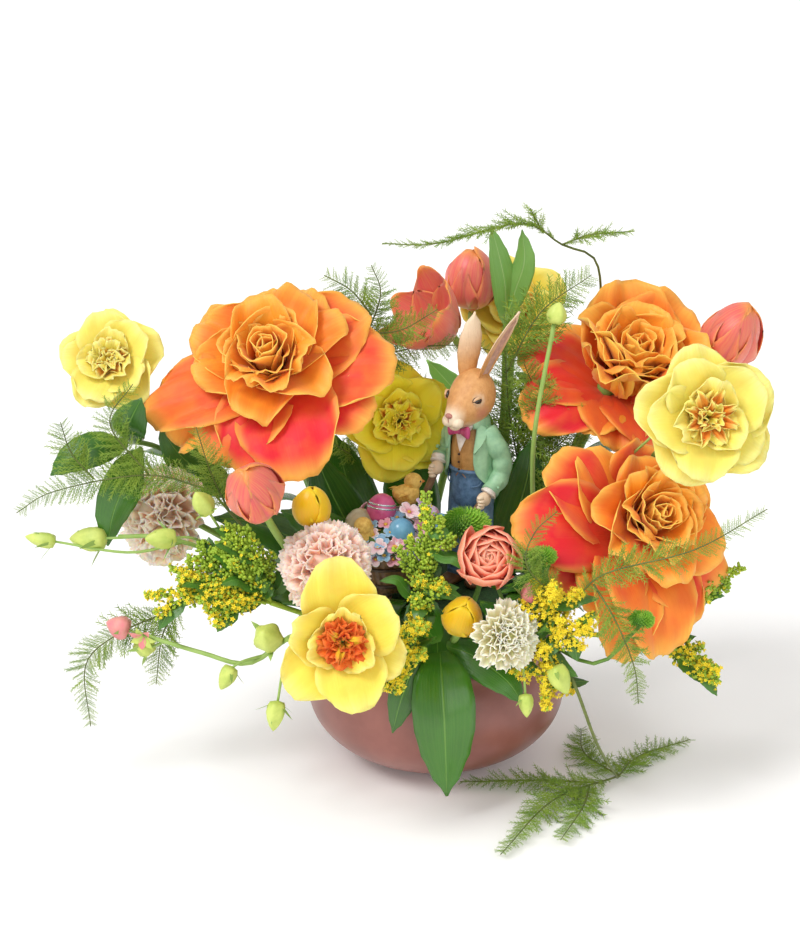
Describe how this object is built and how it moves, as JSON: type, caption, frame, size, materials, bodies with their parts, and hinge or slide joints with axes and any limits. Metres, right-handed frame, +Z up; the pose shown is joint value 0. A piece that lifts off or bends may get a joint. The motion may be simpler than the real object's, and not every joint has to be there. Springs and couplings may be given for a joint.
{
  "type": "flower bowl arrangement",
  "caption": "Low spring flower arrangement in a round stoneware bowl, with roses, daffodils and tulips round a dressed rabbit ornament pushing a barrow of eggs.",
  "frame": {"origin": "centre of the bowl's flat foot, on the surface it stands on", "axes": "+Z up, -Y towards the front of the arrangement, +X to its right as seen from the front"},
  "size_m": [0.5049, 0.3064, 0.3795],
  "materials": {
    "stoneware": "glazed stoneware, satin dusty rose, opaque",
    "foam": "open-cell floral foam, wet",
    "stem": "fresh green stalk",
    "rose_petal": "velvety petal, orange with red backs",
    "daffodil_petal": "crisp yellow petal",
    "daffodil_cup": "frilled orange petal",
    "tulip_petal": "waxy petal, salmon pink with yellow edges",
    "yellow_tulip_petal": "waxy yellow petal",
    "carnation_petal": "ruffled pale pink petal",
    "ranunculus_petal": "thin coral petal",
    "lisianthus_petal": "fringed cream petal",
    "green_bud": "pale green closed bud",
    "button_quill": "short green quills",
    "goldenrod_floret": "fluffy yellow florets",
    "fern_needle": "fine dull green needles",
    "leaf": "glossy green leaf",
    "painted_resin": "hand painted cast resin",
    "barrow_resin": "hand painted cast resin, wood brown",
    "load_resin": "hand painted cast resin, pastel eggs"
  },
  "bodies": {
    "root": {"barrow_load": "load_resin", "bowl": "stoneware", "button_spray": "button_quill", "carnation_front": "carnation_petal", "carnation_left": "carnation_petal", "daffodil_back": "daffodil_petal", "daffodil_back_stem": "stem", "daffodil_centre": "daffodil_petal", "daffodil_centre_stem": "stem", "daffodil_front": "daffodil_petal", "daffodil_front_cup": "daffodil_cup", "daffodil_front_stem": "stem", "daffodil_left": "daffodil_petal", "daffodil_left_stem": "stem", "daffodil_right": "daffodil_petal", "daffodil_right_cup": "daffodil_cup", "daffodil_right_stem": "stem", "egg_barrow": "barrow_resin", "fern_back": "fern_needle", "fern_behind_rabbit": "fern_needle", "fern_left": "fern_needle", "fern_on_table": "fern_needle", "fern_right": "fern_needle", "fern_top": "fern_needle", "floral_foam": "foam", "goldenrod_centre": "goldenrod_floret", "goldenrod_far_right": "goldenrod_floret", "goldenrod_front": "goldenrod_floret", "goldenrod_left": "goldenrod_floret", "goldenrod_right": "goldenrod_floret", "lisianthus": "lisianthus_petal", "lisianthus_spray_front": "green_bud", "lisianthus_spray_high": "green_bud", "lisianthus_spray_low": "green_bud", "lisianthus_stem": "stem", "rabbit_figure": "painted_resin", "ranunculus": "ranunculus_petal", "ranunculus_buds": "green_bud", "ranunculus_stem": "stem", "rose_left": "rose_petal", "rose_left_stem": "stem", "rose_low": "rose_petal", "rose_low_stem": "stem", "rose_upright": "rose_petal", "rose_upright_stem": "stem", "ruscus_back_left": "leaf", "ruscus_back_right": "leaf", "ruscus_front": "leaf", "ruscus_left": "leaf", "tulip_front": "tulip_petal", "tulip_front_stem": "stem", "tulip_leaves": "leaf", "tulip_open": "tulip_petal", "tulip_open_stem": "stem", "tulip_right": "tulip_petal", "tulip_right_stem": "stem", "tulip_top": "tulip_petal", "tulip_top_stem": "stem", "yellow_tulip_front": "yellow_tulip_petal", "yellow_tulip_left": "yellow_tulip_petal"}
  },
  "joints": []
}
